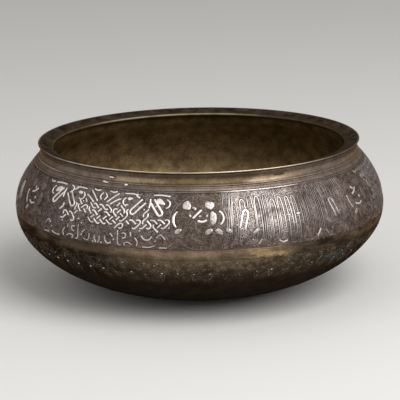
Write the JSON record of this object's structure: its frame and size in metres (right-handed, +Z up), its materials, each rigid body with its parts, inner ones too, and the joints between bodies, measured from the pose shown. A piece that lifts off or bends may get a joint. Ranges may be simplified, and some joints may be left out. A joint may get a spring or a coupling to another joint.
{
  "type": "inlaid metal bowl",
  "caption": "Low round-bellied brass bowl with an inturned collar, a sloping rim and silver plates and straps set flush into its shoulder.",
  "frame": {"origin": "centre of the flat resting face under the bowl", "axes": "+Z up along the bowl's axis, -Y towards the front roundel, +X to the right of it"},
  "size_m": [0.23, 0.23, 0.0922],
  "materials": {
    "aged_brass": "dull aged brass with a grey-brown patina, rubbed brighter on the belly and lip",
    "silver_inlay": "worn warm silver, hammered smooth"
  },
  "bodies": {
    "root": {"bowl_shell": "aged_brass", "cartouche_1_left_hairpin": "silver_inlay", "cartouche_1_left_leaf": "silver_inlay", "cartouche_1_right_hairpin": "silver_inlay", "cartouche_1_right_leaf": "silver_inlay", "cartouche_2_left_hairpin": "silver_inlay", "cartouche_2_left_leaf": "silver_inlay", "cartouche_2_right_hairpin": "silver_inlay", "cartouche_2_right_leaf": "silver_inlay", "cartouche_3_left_hairpin": "silver_inlay", "cartouche_3_left_leaf": "silver_inlay", "cartouche_3_right_hairpin": "silver_inlay", "cartouche_3_right_leaf": "silver_inlay", "cartouche_4_left_hairpin": "silver_inlay", "cartouche_4_left_leaf": "silver_inlay", "cartouche_4_right_hairpin": "silver_inlay", "cartouche_4_right_leaf": "silver_inlay", "cartouche_5_left_hairpin": "silver_inlay", "cartouche_5_left_leaf": "silver_inlay", "cartouche_5_right_hairpin": "silver_inlay", "cartouche_5_right_leaf": "silver_inlay", "cartouche_6_left_hairpin": "silver_inlay", "cartouche_6_left_leaf": "silver_inlay", "cartouche_6_right_hairpin": "silver_inlay", "cartouche_6_right_leaf": "silver_inlay", "frieze_border_wire": "silver_inlay", "roundel_1_arm": "silver_inlay", "roundel_1_crescent": "silver_inlay", "roundel_1_left_head": "silver_inlay", "roundel_1_left_leaf": "silver_inlay", "roundel_1_right_head": "silver_inlay", "roundel_1_right_leaf": "silver_inlay", "roundel_1_robe": "silver_inlay", "roundel_1_sash": "silver_inlay", "roundel_2_left_head": "silver_inlay", "roundel_2_left_leaf": "silver_inlay", "roundel_2_right_head": "silver_inlay", "roundel_2_right_leaf": "silver_inlay", "roundel_2_robe": "silver_inlay", "roundel_3_left_head": "silver_inlay", "roundel_3_left_leaf": "silver_inlay", "roundel_3_right_head": "silver_inlay", "roundel_3_right_leaf": "silver_inlay", "roundel_3_robe": "silver_inlay", "roundel_4_left_head": "silver_inlay", "roundel_4_left_leaf": "silver_inlay", "roundel_4_right_head": "silver_inlay", "roundel_4_right_leaf": "silver_inlay", "roundel_4_robe": "silver_inlay", "roundel_5_left_head": "silver_inlay", "roundel_5_left_leaf": "silver_inlay", "roundel_5_right_head": "silver_inlay", "roundel_5_right_leaf": "silver_inlay", "roundel_5_robe": "silver_inlay", "roundel_6_left_head": "silver_inlay", "roundel_6_left_leaf": "silver_inlay", "roundel_6_right_head": "silver_inlay", "roundel_6_right_leaf": "silver_inlay", "roundel_6_robe": "silver_inlay"}
  },
  "joints": []
}
